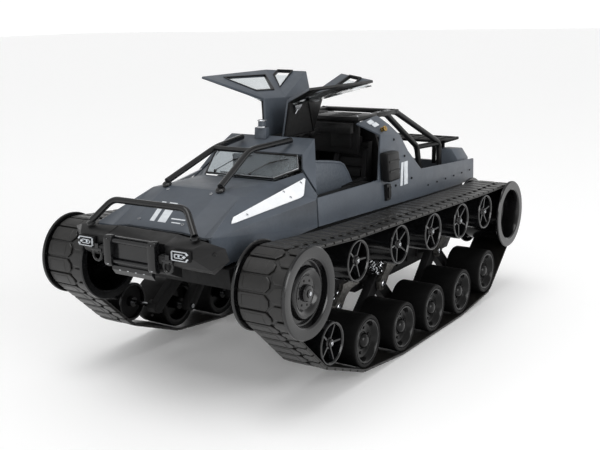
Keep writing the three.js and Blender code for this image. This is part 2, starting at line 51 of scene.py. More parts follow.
# ---- Dimensions shared with the CAD source ---------------------------------------------------
SKIN = 2.2
TRACK_OUTER = 122.5
BELT_OUTER = 119
BELT_INNER = 79
DRIVE = {"y": -188, "z": 98.1, "flange": 35, "drum": 29.4}
IDLER = {"y": 211.8, "z": 83.1, "flange": 35, "drum": 29.4}
GUIDE = {"y": -150.4, "z": 47.8, "radius": 17.3}
TYRE_RADIUS = 22.2
ROAD_WHEELS = [(-94, 32.6), (-27.6, 26), (34.8, 26), (97.2, 26), (159.6, 32)]
ROLLER_RADIUS = 17.3
ROLLERS = [(-109.5, 104.4), (-37, 102.2), (29, 100.1), (92, 98), (152, 96)]
PIVOTS = {"swing_arm": (-70, 60), "front_rocker": (3.6, 54), "rear_rocker": (128.4, 58)}
HINGE = (9.5, 188.2)
DOOR_OPEN = {"left": 77.5, "right": 86.5}
BODY = {
    "noseCentre": (27, -216, 138.5),
    "beltlineFront": (57, -220, 138),
    "kneeCentre": (27, -168, 162),
    "kneeEdge": (45, -166, 158.6),
    "beltlineRear": (69, -92, 146),
    "headerCorner": (44.5, -53, 190.7),
    "roofFold": (43, -20, 191.4),
    "roofCorner": (42, 16, 196.5),
    "sillRear": (68, 16, 147),
    "hingeFront": (9.5, -52, 189.5),
    "hingeRear": (9.5, 0, 190.5),
}


# ---- Materials -------------------------------------------------------------------------------
class Nodes:
    """A short way to write a node tree."""

    def __init__(self, name):
        self.material = bpy.data.materials.new(name)
        self.material.use_nodes = True
        self.tree = self.material.node_tree
        self.shader = self.tree.nodes["Principled BSDF"]
        self.where = self.add("ShaderNodeTexCoord").outputs["Object"]

    def add(self, kind, **inputs):
        node = self.tree.nodes.new(kind)
        for key, value in inputs.items():
            self.put(node.inputs[key], value)
        return node

    def put(self, socket, value):
        if isinstance(value, bpy.types.NodeSocket):
            self.tree.links.new(value, socket)
        else:
            socket.default_value = value

    def noise(self, scale, detail=4, roughness=0.55, stretch=None):
        where = self.where
        if stretch:
            where = self.add("ShaderNodeMapping", Vector=where, Scale=stretch).outputs["Vector"]
        node = self.add("ShaderNodeTexNoise", Vector=where, Scale=scale, Detail=detail, Roughness=roughness)
        return node.outputs["Fac"]

    def remap(self, value, low, high, to_low, to_high):
        node = self.add("ShaderNodeMapRange", Value=value)
        for key, number in (("From Min", low), ("From Max", high), ("To Min", to_low), ("To Max", to_high)):
            node.inputs[key].default_value = number
        return node.outputs["Result"]

    def mix(self, factor, a, b):
        node = self.tree.nodes.new("ShaderNodeMix")
        node.data_type = "RGBA"
        for index, value in ((0, factor), (6, a), (7, b)):
            self.put(node.inputs[index], value)
        return node.outputs[2]

    def bump(self, height, strength, distance, before=None):
        node = self.add("ShaderNodeBump", Height=height, Strength=strength, Distance=distance)
        if before:
            self.put(node.inputs["Normal"], before)
        return node.outputs["Normal"]


def rgb(red, green, blue):
    """sRGB from 0 to 255, as the linear colour that a socket takes."""
    return tuple((v / 255 / 12.92) if v < 11 else ((v / 255 + 0.055) / 1.055) ** 2.4 for v in (red, green, blue)) + (1,)


def finish(name, colour, other, rough, patch=45, grain=1800, grain_depth=0.00004, wear=None, dust=None, **shader):
    """A surface with a drifting colour, uneven roughness and a fine grain. wear lightens its
    edges, and dust lies on what faces up."""
    n = Nodes(name)
    drift = n.noise(patch, 6, 0.6)
    paint = n.mix(n.remap(drift, 0.35, 0.68, 0, 1), colour, other)
    if dust:
        up = n.add("ShaderNodeSeparateXYZ", Vector=n.add("ShaderNodeNewGeometry").outputs["Normal"]).outputs["Z"]
        flat = n.remap(up, 0.3, 1, 0, 1)
        lying = n.add("ShaderNodeMath")
        lying.operation = "MULTIPLY"
        n.put(lying.inputs[0], flat)
        n.put(lying.inputs[1], n.remap(n.noise(160, 8, 0.7), 0.42, 0.75, 0, dust[1]))
        paint = n.mix(lying.outputs[0], paint, dust[0])
    if wear:
        edge = n.remap(n.add("ShaderNodeNewGeometry").outputs["Pointiness"], 0.52, 0.62, 0, wear[1])
        broken = n.add("ShaderNodeMath")
        broken.operation = "MULTIPLY"
        n.put(broken.inputs[0], edge)
        n.put(broken.inputs[1], n.remap(n.noise(420, 5), 0.4, 0.6, 0.2, 1))
        paint = n.mix(broken.outputs[0], paint, wear[0])
    n.put(n.shader.inputs["Base Color"], paint)
    n.put(n.shader.inputs["Roughness"], n.remap(n.noise(patch * 3, 7, 0.65), 0.3, 0.7, rough[0], rough[1]))
    coarse = n.bump(drift, 0.15, 0.0004)
    n.put(n.shader.inputs["Normal"], n.bump(n.noise(grain, 3, 0.5), 0.5, grain_depth, coarse))
    for key, value in shader.items():
        n.shader.inputs[key.replace("_", " ")].default_value = value
    return n.material


PAINT = finish("hull_paint", rgb(68, 74, 82), rgb(74, 81, 90), (0.4, 0.5), patch=30, grain=2600,
               grain_depth=0.00002, wear=(rgb(104, 112, 120), 0.35), dust=(rgb(104, 108, 110), 0.10))
BLACK = finish("black_plastic", rgb(8, 8, 9), rgb(12, 12, 13), (0.34, 0.48), wear=(rgb(48, 48, 48), 0.3),
               dust=(rgb(46, 44, 41), 0.08), Specular_IOR_Level=0.32)
GLOSS = finish("gloss_black", rgb(6, 6, 7), rgb(9, 9, 10), (0.12, 0.22), grain=900, grain_depth=0.00001,
               wear=(rgb(44, 46, 48), 0.3), Specular_IOR_Level=0.5)
DARK = finish("dark_moulding", rgb(7, 7, 8), rgb(11, 11, 12), (0.55, 0.7), wear=(rgb(36, 36, 36), 0.25),
              dust=(rgb(36, 35, 33), 0.12), Specular_IOR_Level=0.25)
RUBBER = finish("track_rubber", rgb(13, 13, 13), rgb(20, 19, 18), (0.3, 0.46), patch=90, grain=2200,
                grain_depth=0.00005, wear=(rgb(44, 42, 40), 0.3), dust=(rgb(58, 54, 48), 0.3))
TYRE = finish("wheel_rubber", rgb(5, 5, 5), rgb(7, 7, 7), (0.5, 0.65), patch=80, grain=2400,
              grain_depth=0.00004, Specular_IOR_Level=0.15)
DISH = finish("wheel_dish", rgb(4, 4, 4), rgb(6, 6, 6), (0.16, 0.24), grain=900, grain_depth=0.00001,
              wear=(rgb(40, 41, 43), 0.3), Specular_IOR_Level=0.25)
ALLOY = finish("cast_alloy", rgb(62, 61, 58), rgb(48, 47, 45), (0.3, 0.45), patch=70, grain=1500,
               grain_depth=0.00005, wear=(rgb(150, 148, 144), 0.5), Metallic=0.85)
STEEL = finish("bright_steel", rgb(200, 202, 205), rgb(170, 172, 176), (0.12, 0.25), patch=120, grain=900,
               grain_depth=0.00001, Metallic=1.0)
BRASS = finish("brass", rgb(190, 160, 100), rgb(150, 120, 70), (0.2, 0.35), patch=200, Metallic=1.0)
WHITE = finish("white_sheet", rgb(236, 238, 240), rgb(226, 229, 232), (0.35, 0.45), patch=60,
               wear=(rgb(250, 250, 250), 0.2))
MARK = finish("white_marking", rgb(222, 226, 230), rgb(206, 211, 216), (0.45, 0.55), patch=260)
SEAT = finish("seat_moulding", rgb(10, 10, 11), rgb(15, 15, 17), (0.6, 0.75), patch=120, grain=3200,
              grain_depth=0.00006, Specular_IOR_Level=0.25)
LENS = finish("lamp_reflector", rgb(214, 222, 228), rgb(190, 198, 206), (0.08, 0.2), patch=500, Metallic=0.6)
RED = finish("tail_lens", rgb(120, 16, 14), rgb(150, 24, 20), (0.12, 0.2), patch=400)
GREEN = finish("circuit_green", rgb(20, 60, 48), rgb(28, 76, 60), (0.4, 0.5), patch=300)
LED = finish("led_strip", rgb(206, 210, 214), rgb(186, 190, 195), (0.2, 0.3), patch=400)


def clear_glass(name, colour, other, clear):
    n = Nodes(name)
    n.put(n.shader.inputs["Base Color"], n.mix(n.noise(50), colour, other))
    n.put(n.shader.inputs["Roughness"], n.remap(n.noise(110, 6), 0.35, 0.7, 0.02, 0.07))
    n.put(n.shader.inputs["Normal"], n.bump(n.noise(60, 2), 0.1, 0.0002))
    n.shader.inputs["Transmission Weight"].default_value = clear
    n.shader.inputs["IOR"].default_value = 1.08
    return n.material


GLASS = clear_glass("clear_glass", rgb(214, 220, 222), rgb(226, 230, 232), 1)
WINDSCREEN = clear_glass("windscreen_glass", rgb(168, 176, 180), rgb(184, 190, 194), 0.8)


# ---- Shapes, added to a bmesh in millimetres ---------------------------------------------------
class Shape:
    """A mesh under construction. Each call adds a closed form in the material named by index."""

    def __init__(self):
        self.bm = bmesh.new()
        self.material = 0

    def _mark(self, faces):
        for face in faces:
            face.material_index = self.material
        return faces

    def use(self, index):
        self.material = index
        return self

    def solid(self, rings, caps=True, close=False):
        """Skins a list of equal rings of points."""
        rows = [[self.bm.verts.new(p) for p in ring] for ring in rings]
        faces = []
        count = len(rows[0])
        pairs = list(zip(rows, rows[1:])) + ([(rows[-1], rows[0])] if close else [])
        for low, high in pairs:
            for i in range(count):
                j = (i + 1) % count
                faces.append(self.bm.faces.new((low[i], low[j], high[j], high[i])))
        if caps and not close:
            faces.append(self.bm.faces.new(rows[0][::-1]))
            faces.append(self.bm.faces.new(rows[-1]))
        return self._mark(faces)

    def hull(self, points):
        verts = [self.bm.verts.new(p) for p in points]
        made = bmesh.ops.convex_hull(self.bm, input=verts)
        loose = [v for v in made["geom_interior"] + made["geom_unused"] if isinstance(v, bmesh.types.BMVert)]
        faces = [f for f in made["geom"] if isinstance(f, bmesh.types.BMFace)]
        self._mark(faces)
        if loose:
            bmesh.ops.delete(self.bm, geom=loose, context="VERTS")
        return self

    def box(self, x0, x1, y0, y1, z0, z1):
        return self.hull([(x, y, z) for x in sorted((x0, x1)) for y in (y0, y1) for z in (z0, z1)])

    def bar(self, x0, x1, section):
        """The hull of a section of [y, z] between two X planes."""
        return self.hull([(x, y, z) for x in (x0, x1) for y, z in section])

    def plate(self, outline, depth):
        """A flat plate: an outline of 3-D points, and the vector that it is pushed along."""
        push = Vector(depth)
        self.solid([[Vector(p) for p in outline], [Vector(p) + push for p in outline]])
        return self

    def lathe(self, profile, y, z, sides=48, closed=False):
        """Turns [radius, x] points about an axle along X. The first and last are on the axis,
        unless the profile is a closed ring."""
        rings = []
        for i in range(sides):
            c, s = math.cos(2 * math.pi * i / sides), math.sin(2 * math.pi * i / sides)
            rings.append([(x, y + r * c, z + r * s) for r, x in profile])
        if closed:
            self.solid([list(ring) for ring in zip(*rings)], caps=False, close=True)
            return self
        middle = [list(ring) for ring in zip(*[ring[1:-1] for ring in rings])]
        rows = [[self.bm.verts.new(p) for p in ring] for ring in middle]
        ends = [self.bm.verts.new((profile[k][1], y, z)) for k in (0, -1)]
        faces = []
        for low, high in zip(rows, rows[1:]):
            for i in range(sides):
                j = (i + 1) % sides
                faces.append(self.bm.faces.new((low[i], low[j], high[j], high[i])))
        for i in range(sides):
            j = (i + 1) % sides
            faces.append(self.bm.faces.new((ends[0], rows[0][j], rows[0][i])))
            faces.append(self.bm.faces.new((ends[1], rows[-1][i], rows[-1][j])))
        self._mark(faces)
        return self

    def rod(self, start, end, radius, sides=16):
        return self.tube([start, end], radius, sides)

    def tube(self, path, radius, sides=14, close=False):
        """A round bar along a path."""
        points = [Vector(p) for p in path]
        last = len(points) - 1
        rings = []
        side = None
        for i, p in enumerate(points):
            before = points[i - 1] if i or close else p
            after = points[(i + 1) % len(points)] if i < last or close else p
            along = (after - before).normalized()
            if side is None:
                side = along.orthogonal().normalized()
            side = (side - along * side.dot(along)).normalized()
            up = along.cross(side)
            turns = [2 * math.pi * k / sides for k in range(sides)]
            rings.append([p + side * math.cos(a) * radius + up * math.sin(a) * radius for a in turns])
        self.solid(rings, close=close)
        return self

    def head(self, profile, centre, normal, radius, height, sides):
        """A turned head on a surface, from a profile in parts of its radius and height."""
        up = Vector(normal).normalized()
        side = up.orthogonal().normalized()
        other = up.cross(side)
        turns = [2 * math.pi * k / sides for k in range(sides)]
        spokes = [side * math.cos(a) + other * math.sin(a) for a in turns]
        self.solid([
            [Vector(centre) + up * h * height + spoke * r * radius for spoke in spokes] for r, h in profile
        ])
        return self

    def dome(self, centre, normal, radius, height, sides=12):
        """A low round head, such as a rivet's."""
        return self.head(((1, -0.3), (1, 0.35), (0.86, 0.75), (0.5, 1)), centre, normal, radius, height, sides)

    def screw(self, centre, normal, radius, height):
        """A screw's head with a recess."""
        profile = ((1, -0.3), (1, 0.75), (0.85, 1), (0.5, 1), (0.45, 0.3))
        return self.head(profile, centre, normal, radius, height, 12)

    def take(self, node):
        """Starts from a CAD node's shape, with its flat faces made whole again."""
        self.bm.from_mesh(NODES[node].data)
        bmesh.ops.scale(self.bm, vec=(1000, 1000, 1000), verts=self.bm.verts)
        bmesh.ops.remove_doubles(self.bm, verts=self.bm.verts, dist=0.004)
        flat = math.radians(1.2)
        bmesh.ops.dissolve_limit(self.bm, angle_limit=flat, verts=self.bm.verts, edges=self.bm.edges)
        self._mark(self.bm.faces)
        return self

    def round_edges(self, width, angle=28, segments=2):
        limit = math.radians(angle)
        edges = [e for e in self.bm.edges if len(e.link_faces) == 2 and e.calc_face_angle(0) > limit]
        bmesh.ops.bevel(self.bm, geom=edges, offset=width, segments=segments, affect="EDGES",
                        profile=0.5, clamp_overlap=True)
        return self

    def mirror(self):
        bmesh.ops.scale(self.bm, vec=(-1, 1, 1), verts=self.bm.verts)
        bmesh.ops.reverse_faces(self.bm, faces=self.bm.faces)
        return self

    def make(self, name, body, materials, slot=None, replaces=(), smooth=32):
        bmesh.ops.recalc_face_normals(self.bm, faces=self.bm.faces)
        bmesh.ops.scale(self.bm, vec=(MM, MM, MM), verts=self.bm.verts)
        mesh = bpy.data.meshes.new(name)
        self.bm.to_mesh(mesh)
        self.bm.free()
        mesh.shade_smooth()
        mesh.set_sharp_from_angle(angle=math.radians(smooth))
        for material in materials:
            mesh.materials.append(material)
        piece = bpy.data.objects.new(name, mesh)
        bpy.context.scene.collection.objects.link(piece)
        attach(piece, body)
        if replaces:
            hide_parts(*replaces)
        return piece


def pair(name, build, materials, slot, body="body", replace=None, smooth=32, mirrored=True):
    """The same piece on both sides. build returns a Shape for the left."""
    for side in ("left", "right"):
        shape = build(side) if not mirrored else build()
        if mirrored and side == "right":
            shape.mirror()
        rides = body if body == "body" else f"{body}_{side}"
        nodes = [f"{replace}_{side}"] if replace else []
        shape.make(f"{name}_{side}_look", rides, materials, slot, nodes, smooth)


def v(name, side=1):
    x, y, z = BODY[name]
    return Vector((x * side, y, z))


def mix(*terms):
    total = Vector((0, 0, 0))
    for point, weight in terms:
        total += Vector(point) * weight
    return total


def bend(points, radius, steps=5):
    """A path with its corners rounded."""
    path = [Vector(points[0])]
    for a, b, c in zip(points, points[1:], points[2:]):
        a, b, c = Vector(a), Vector(b), Vector(c)
        back, ahead = (a - b), (c - b)
        reach = min(radius, back.length * 0.45, ahead.length * 0.45)
        start, end = b + back.normalized() * reach, b + ahead.normalized() * reach
        for k in range(steps + 1):
            t = k / steps
            path.append(start * (1 - t) ** 2 + b * 2 * t * (1 - t) + end * t**2)
    path.append(Vector(points[-1]))
    return path


# ---- Tracks ------------------------------------------------------------------------------------
def belt_path():
    """Points round the belt's inner face: (y, z, normal y, normal z, distance)."""
    gap, tilt = 0.5, 1
    wraps = [(DRIVE["y"], DRIVE["z"], DRIVE["drum"] + gap), (GUIDE["y"], GUIDE["z"], GUIDE["radius"] + gap)]
    wraps += [(*ROAD_WHEELS[i], TYRE_RADIUS + tilt) for i in (0, 1, 3, 4)]
    wraps += [(IDLER["y"], IDLER["z"], IDLER["drum"] + gap)]
    wraps += [(ROLLERS[i][0], ROLLERS[i][1] + ROLLER_RADIUS + gap, 0) for i in (4, 2, 0)]

    def facing(a, b):
        span = math.hypot(b[0] - a[0], b[1] - a[1])
        return math.atan2(b[1] - a[1], b[0] - a[0]) - math.acos((a[2] - b[2]) / span)

    points = []
    for i, wheel in enumerate(wraps):
        start = facing(wraps[i - 1], wheel)
        sweep = (facing(wheel, wraps[(i + 1) % len(wraps)]) - start) % (2 * math.pi)
        if sweep > math.pi:
            sweep -= 2 * math.pi
        steps = max(1, math.ceil(abs(sweep) / 0.07)) if wheel[2] else 1
        for k in range(steps + 1):
            angle = start + sweep * k / steps
            ny, nz = math.cos(angle), math.sin(angle)
            points.append((wheel[0] + wheel[2] * ny, wheel[1] + wheel[2] * nz, ny, nz))
    path, total = [], 0.0
    for i, p in enumerate(points):
        if i:
            total += math.hypot(p[0] - points[i - 1][0], p[1] - points[i - 1][1])
        path.append((*p, total))
    first = points[0]
    total += math.hypot(first[0] - points[-1][0], first[1] - points[-1][1])
    path.append((*first, total))
    return path, total


BELT_PATH, BELT_LENGTH = belt_path()
PADS = 80
PITCH = BELT_LENGTH / PADS
CARCASS = 0.9
TREAD_TOP = 2.75


def on_belt(s, height):
    """The place that is s along the belt and height above its inner face."""
    s %= BELT_LENGTH
    low, high = 0, len(BELT_PATH) - 1
    while high - low > 1:
        middle = (low + high) // 2
        if BELT_PATH[middle][4] <= s:
            low = middle
        else:
            high = middle
    a, b = BELT_PATH[low], BELT_PATH[high]
    t = (s - a[4]) / max(b[4] - a[4], 1e-6)
    y, z, ny, nz = (a[k] * (1 - t) + b[k] * t for k in range(4))
    size = math.hypot(ny, nz)
    return y + ny / size * height, z + nz / size * height


def lug(outline, base, top, cuts=(-3.2, 0, 3.2)):
    """A tread lug on a flat belt: vertices (x, s, height) and faces."""
    centre = Vector((sum(p[0] for p in outline) / len(outline), sum(p[1] for p in outline) / len(outline)))
    inset = [Vector(p) + (centre - Vector(p)).normalized() * 0.75 for p in outline]
    shape = Shape()
    shape.solid([
        [(x, s, base) for x, s in outline],
        [(x, s, top - 0.35) for x, s in outline],
        [(x, s, top) for x, s in inset],
    ])
    for s in cuts:
        geometry = shape.bm.verts[:] + shape.bm.edges[:] + shape.bm.faces[:]
        bmesh.ops.bisect_plane(shape.bm, geom=geometry, plane_co=(0, s, 0), plane_no=(0, 1, 0))
    shape.bm.verts.index_update()
    made = [tuple(vert.co) for vert in shape.bm.verts], [[vert.index for vert in f.verts] for f in shape.bm.faces]
    shape.bm.free()
    return made


def tread():
    """The lugs of one pitch, in x from the belt's right edge."""
    a = PITCH / 2 - 0.75
    big = [(1.9, -a), (24.2, -a), (27.6, -a + 3.4), (27.6, a - 3.4), (24.2, a), (1.9, a), (1, a - 0.9), (1, 0.9 - a)]
    half = PITCH / 2
    b = a - 0.3
    small = [(39.3, half - b), (39.3, half + b), (32, half + b), (28, half + 1.1), (28, half - 1.1), (32, half - b)]
    panel = [(4.5, 1.6 - a), (21.5, 1.6 - a), (21.5, a - 1.6), (4.5, a - 1.6)]
    cuts = (half - 3.2, half, half + 3.2)
    return [lug(big, CARCASS - 0.1, TREAD_TOP - 0.3), lug(panel, TREAD_TOP - 0.5, TREAD_TOP),
            lug(small, CARCASS - 0.1, TREAD_TOP - 0.1, cuts)]


TREAD = tread()


def track(side):
    edge = BELT_INNER if side == "left" else -BELT_OUTER
    width = BELT_OUTER - BELT_INNER
    shape = Shape()
    section = ((0.4, 0), (width - 0.4, 0), (width, 0.4), (width, CARCASS - 0.3), (width - 0.5, CARCASS),
               (0.5, CARCASS), (0, CARCASS - 0.3), (0, 0.4))
    rings = []
    for y, z, ny, nz, _ in BELT_PATH[:-1]:
        rings.append([(edge + x, y + ny * h, z + nz * h) for x, h in section])
    shape.solid(rings, close=True)
    for k in range(PADS):
        for places, faces in TREAD:
            verts = []
            for x, s, height in places:
                y, z = on_belt(k * PITCH + s, height)
                verts.append(shape.bm.verts.new((edge + x, y, z)))
            for face in faces:
                shape.bm.faces.new([verts[i] for i in face])
    return shape


pair("track_belt", track, [RUBBER], "rubber", replace="track_belt", mirrored=False, smooth=25)


# ---- Wheels ------------------------------------------------------------------------------------
def around(y, z, radius, count, start=0.0):
    turns = [start + 2 * math.pi * k / count for k in range(count)]
    return [(y + radius * math.cos(a), z + radius * math.sin(a)) for a in turns]


def drive_wheel():
    y, z = DRIVE["y"], DRIVE["z"]
    o = TRACK_OUTER
    shape = Shape()
    shape.lathe([
        (0, o - 1.2), (4, o - 1.2), (5.6, o - 1.6), (6.4, o - 2.6), (6.6, o - 4.4), (12.4, o - 4.6), (13.6, o - 3.6),
        (15.4, o - 2.2), (17.4, o - 1.7), (18.8, o - 2.4), (19.8, o - 4.2), (20.6, o - 5.6), (23.6, o - 6),
        (24.6, o - 5.6), (25.4, o - 1.2), (26.2, o - 0.3), (27, o), (34.2, o), (35, o - 0.8), (35, o - 2.2),
        (34.4, o - 2.8), (30.2, o - 3.1), (29.4, o - 4), (29.4, o - 43), (30.2, o - 43.9), (34.4, o - 44.2),
        (35, o - 44.8), (35, o - 46.2), (34.2, o - 47), (28.4, o - 47), (27.4, o - 46), (26.6, o - 16),
        (24, o - 12), (8, o - 12), (7.4, o - 46), (3, o - 46.4), (0, o - 46.4),
    ], y, z, 72)
    for hy, hz in around(y, z, 9.6, 8, 0.2):
        shape.use(1).dome((o - 4.6, hy, hz), (1, 0, 0), 0.95, 0.5, 10)
    shape.use(0)
    nut = around(y, z, 3.3, 6)
    shape.solid([[(x, ny, nz) for ny, nz in nut] for x in (o - 2, o - 0.5)])
    shape.use(2).rod((62.5, y, z), (o - 46, y, z), 2)
    shape.rod((o - 0.9, y, z), (o - 0.1, y, z), 1.6, 12)
    return shape


pair("drive_wheel", drive_wheel, [GLOSS, DARK, STEEL], "gloss", "drive_wheel", "drive_wheel", smooth=28)


def idler_wheel():
    y, z = IDLER["y"], IDLER["z"]
    o = TRACK_OUTER
    shape = Shape()
    shape.lathe([
        (0, o - 14.4), (4.6, o - 14.4), (5.6, o - 15.2), (6.6, o - 18.6), (20, o - 19.4), (23.4, o - 17), (25, o - 4),
        (25.8, o - 0.8), (27, o), (34.2, o), (35, o - 0.8), (35, o - 2.2), (34.4, o - 2.8), (30.2, o - 3.1),
        (29.4, o - 4), (29.4, o - 43), (30.2, o - 43.9), (34.4, o - 44.2), (35, o - 44.8), (35, o - 46.2),
        (34.2, o - 47), (28.4, o - 47), (27.4, o - 46), (26.6, o - 24), (8, o - 24), (7.4, o - 46), (0, o - 46.4),
    ], y, z, 72)
    for hy, hz in around(y, z, 13.5, 6, 0.3):
        shape.use(1).dome((o - 19.2, hy, hz), (1, 0, 0), 1.4, 1, 8)
    shape.rod((62.5, y, z), (o - 46, y, z), 2)
    return shape


pair("idler_wheel", idler_wheel, [GLOSS, DARK], "gloss", "idler_wheel", "idler_wheel", smooth=28)


def road_wheel(y, z):
    o = BELT_OUTER - 0.4
    i = BELT_INNER + 3
    r = TYRE_RADIUS
    shape = Shape()
    shape.lathe([
        (18.6, o - 2), (19, o - 0.4), (20.8, o), (21.7, o - 0.6), (r, o - 2), (r, i + 2), (r - 0.7, i + 0.6),
        (r - 1.8, i), (18.6, i + 0.6),
    ], y, z, 48, closed=True)
    shape.use(1).lathe([
        (0, o - 0.6), (1.8, o - 0.7), (4, o - 1.4), (5.6, o - 2.8), (6.4, o - 4.8), (7.6, o - 5.6), (12, o - 5.9),
        (14.2, o - 5.2), (15.6, o - 3), (16.4, o - 0.9), (17.2, o - 0.2), (18.2, o - 0.2), (18.9, o - 1),
        (18.9, i + 1), (16, i + 1), (15, i + 9), (6, i + 10), (5.4, i - 1), (0, i - 1),
    ], y, z, 48)
    for hy, hz in around(y, z, 10.4, 6, 0.26):
        shape.dome((o - 5.8, hy, hz), (1, 0, 0), 1.25, 1.1, 8)
    for by, bz in around(y, z, 3.7, 5):
        shape.dome((o - 1.5, by, bz), (1, 0.25, 0), 0.5, 0.5, 8)
    shape.use(2).rod((65.5, y, z), (i, y, z), 2)
    return shape


for number, place in enumerate(ROAD_WHEELS, 1):
    name = f"road_wheel_{number}"
    pair(name, lambda: road_wheel(*place), [TYRE, DISH, STEEL], "gloss", name, name, smooth=28)


def spoked_wheel(y, z, r, turn):
    o = BELT_OUTER - 0.6
    back = o - 30
    shape = Shape()
    shape.lathe([
        (r - 2.3, o - 0.9), (r - 1.5, o), (r - 0.5, o), (r, o - 0.7), (r, back + 0.6), (r - 0.6, back),
        (r - 2.4, back), (r - 2.8, o - 5),
    ], y, z, 44, closed=True)
    shape.lathe([
        (0, o - 0.4), (2, o - 0.5), (3.2, o - 1.2), (3.6, o - 2.4), (4.6, o - 3), (5, o - 4), (4.4, back - 1),
        (0, back - 1),
    ], y, z, 24)
    shape.use(1).lathe([(0, back + 7), (r - 2.5, back + 7), (r - 2.5, back + 4), (0, back + 4)], y, z, 24)
    shape.use(0)
    for k in range(5):
        a = turn + 2 * math.pi * k / 5
        along, across = Vector((0, math.cos(a), math.sin(a))), Vector((0, -math.sin(a), math.cos(a)))
        hub, rim = Vector((0, y, z)) + along * 3.4, Vector((0, y, z)) + along * (r - 1.6)
        points = []
        for place, half, front in ((hub, 1.5, o - 2.6), (rim, 0.95, o - 1.3)):
            for side in (-1, 1):
                points += [place + across * half * side + Vector((front - 3.5, 0, 0)),
                           place + across * half * 0.55 * side + Vector((front, 0, 0))]
        shape.hull(points)
    shape.use(2).screw((o - 0.8, y, z), (1, 0, 0), 1.5, 0.8)
    shape.rod((62.5, y, z), (back, y, z), 2)
    return shape


SPOKED = [("guide_wheel", GUIDE["y"], GUIDE["z"], GUIDE["radius"], 1.2)]
SPOKED += [(f"return_roller_{k}", *place, ROLLER_RADIUS, 0.5 + k * 0.7) for k, place in enumerate(ROLLERS, 1)]
for name, *wheel in SPOKED:
    pair(name, lambda: spoked_wheel(*wheel), [GLOSS, DARK, STEEL], "gloss", name, name, smooth=28)


# ---- Suspension and tub ------------------------------------------------------------------------
def suspension(unit):
    shape = Shape().take(unit + "_left").round_edges(0.9)
    return shape.use(1).screw((75.3, *PIVOTS[unit]), (1, 0, 0), 3.6, 2.2)


for unit in PIVOTS:
    pair(unit, lambda: suspension(unit), [DARK, STEEL], "metal", unit, unit)


def coil(start, end, radius, turns):
    """The centre line of a coil spring."""
    a, b = Vector(start), Vector(end)
    along = (b - a).normalized()
    side = along.orthogonal().normalized()
    other = along.cross(side)
    steps = turns * 14
    path = []
    for k in range(steps + 1):
        angle = 2 * math.pi * turns * k / steps
        path.append(a.lerp(b, k / steps) + (side * math.cos(angle) + other * math.sin(angle)) * radius)
    return path


def dampers():
    shape = Shape()
    for top, foot in (((74, -92, 82), (74, -78, 58)), ((74, -16, 84), (74, 0, 62)), ((74, 22, 84), (74, 8, 62)),
                      ((74, 110, 84), (74, 122, 66)), ((74, 148, 84), (74, 136, 66))):
        shape.use(0).rod(top, mix((top, 0.45), (foot, 0.55)), 2.4, 14)
        shape.use(1).rod(top, foot, 1.1, 10)
        shape.tube(coil(mix((top, 0.92), (foot, 0.08)), mix((top, 0.1), (foot, 0.9)), 3.5, 6), 0.55, 6)
        for _, y, z in (top, foot):
            shape.use(0).rod((60.5, y, z), (77, y, z), 2.6, 12)
            shape.use(1).screw((77, y, z), (1, 0, 0), 1.8, 1)
    return shape


pair("damper", dampers, [DARK, STEEL], "metal")


def brackets():
    """The bright curved brackets above the road wheels."""
    shape = Shape()
    for y, z in ((-77, 51), (3.3, 52), (125.6, 56.5)):
        outline = [(-5, -3), (-3, -6), (2, -6), (7, -2), (13, 6), (22, 11), (36, 12.6), (36, 14), (22, 18), (9, 18),
                   (6, 12), (-2, 6), (-5, 2)]
        shape.plate([(76.5, y + a, z + b) for a, b in outline], (4, 0, 0))
        shape.use(1).screw((80.5, y, z), (1, 0, 0), 3.4, 1.8)
        shape.use(0)
    return shape.round_edges(0.5, 40)


pair("arm_bracket", brackets, [ALLOY, STEEL], "metal")


def tub():
    shape = Shape().take("chassis_tub").round_edges(0.8)
    for side in (-1, 1):
        shape.box(side * 60, side * 62, -8, 190, 74, 77)
        for k in range(9):
            y = 4 + 22 * k
            shape.box(side * 60, side * 61.6, y, y + 2, 50, 74)
            shape.screw((side * 61.8, y + 1, 83), (side, 0, 0), 1.5, 0.9)
        for y, z in [(wheel["y"], wheel["z"]) for wheel in (DRIVE, IDLER, GUIDE)] + ROLLERS:
            for hy, hz in around(y, z, 8.4, 4, 0.78):
                shape.screw((side * 60.2, hy, hz), (side, 0, 0), 1.1, 1)
    return shape


tub().make("chassis_tub_look", "body", [DARK], "dark", ["chassis_tub"])


def refined(node, material, width, angle=28, segments=2):
    """A CAD node of the body, with its edges rounded."""
    shape = Shape().take(node).round_edges(width, angle, segments)
    shape.make(node + "_look", "body", [material], SLOTS[node], [node])


refined("battery_pack", DARK, 1.5)
refined("gearbox_and_motors", DARK, 0.8)


# ---- Painted body ------------------------------------------------------------------------------
def face_frame(a, b, c):
    """The plane of a facet: origin and unit normal."""
    return a, (b - a).cross(c - a).normalized()


refined("hood_shell", PAINT, 0.9, 6, 3)
refined("side_panel_left", PAINT, 0.7, 8)
refined("side_panel_right", PAINT, 0.7, 8)


def cabin_frame():
    """The windscreen frame, with the black spine between the doors and the crown behind them."""
    shape = Shape().take("cabin_frame").round_edges(0.6, 8)
    for face in shape.bm.faces:
        middle = face.calc_center_median()
        face.material_index = int(middle.y > -51)
    return shape


cabin_frame().make("cabin_frame_look", "body", [PAINT, BLACK], "paint", ["cabin_frame"])

SIDE_FACET = face_frame(v("beltlineFront"), v("beltlineRear"), v("kneeEdge"))


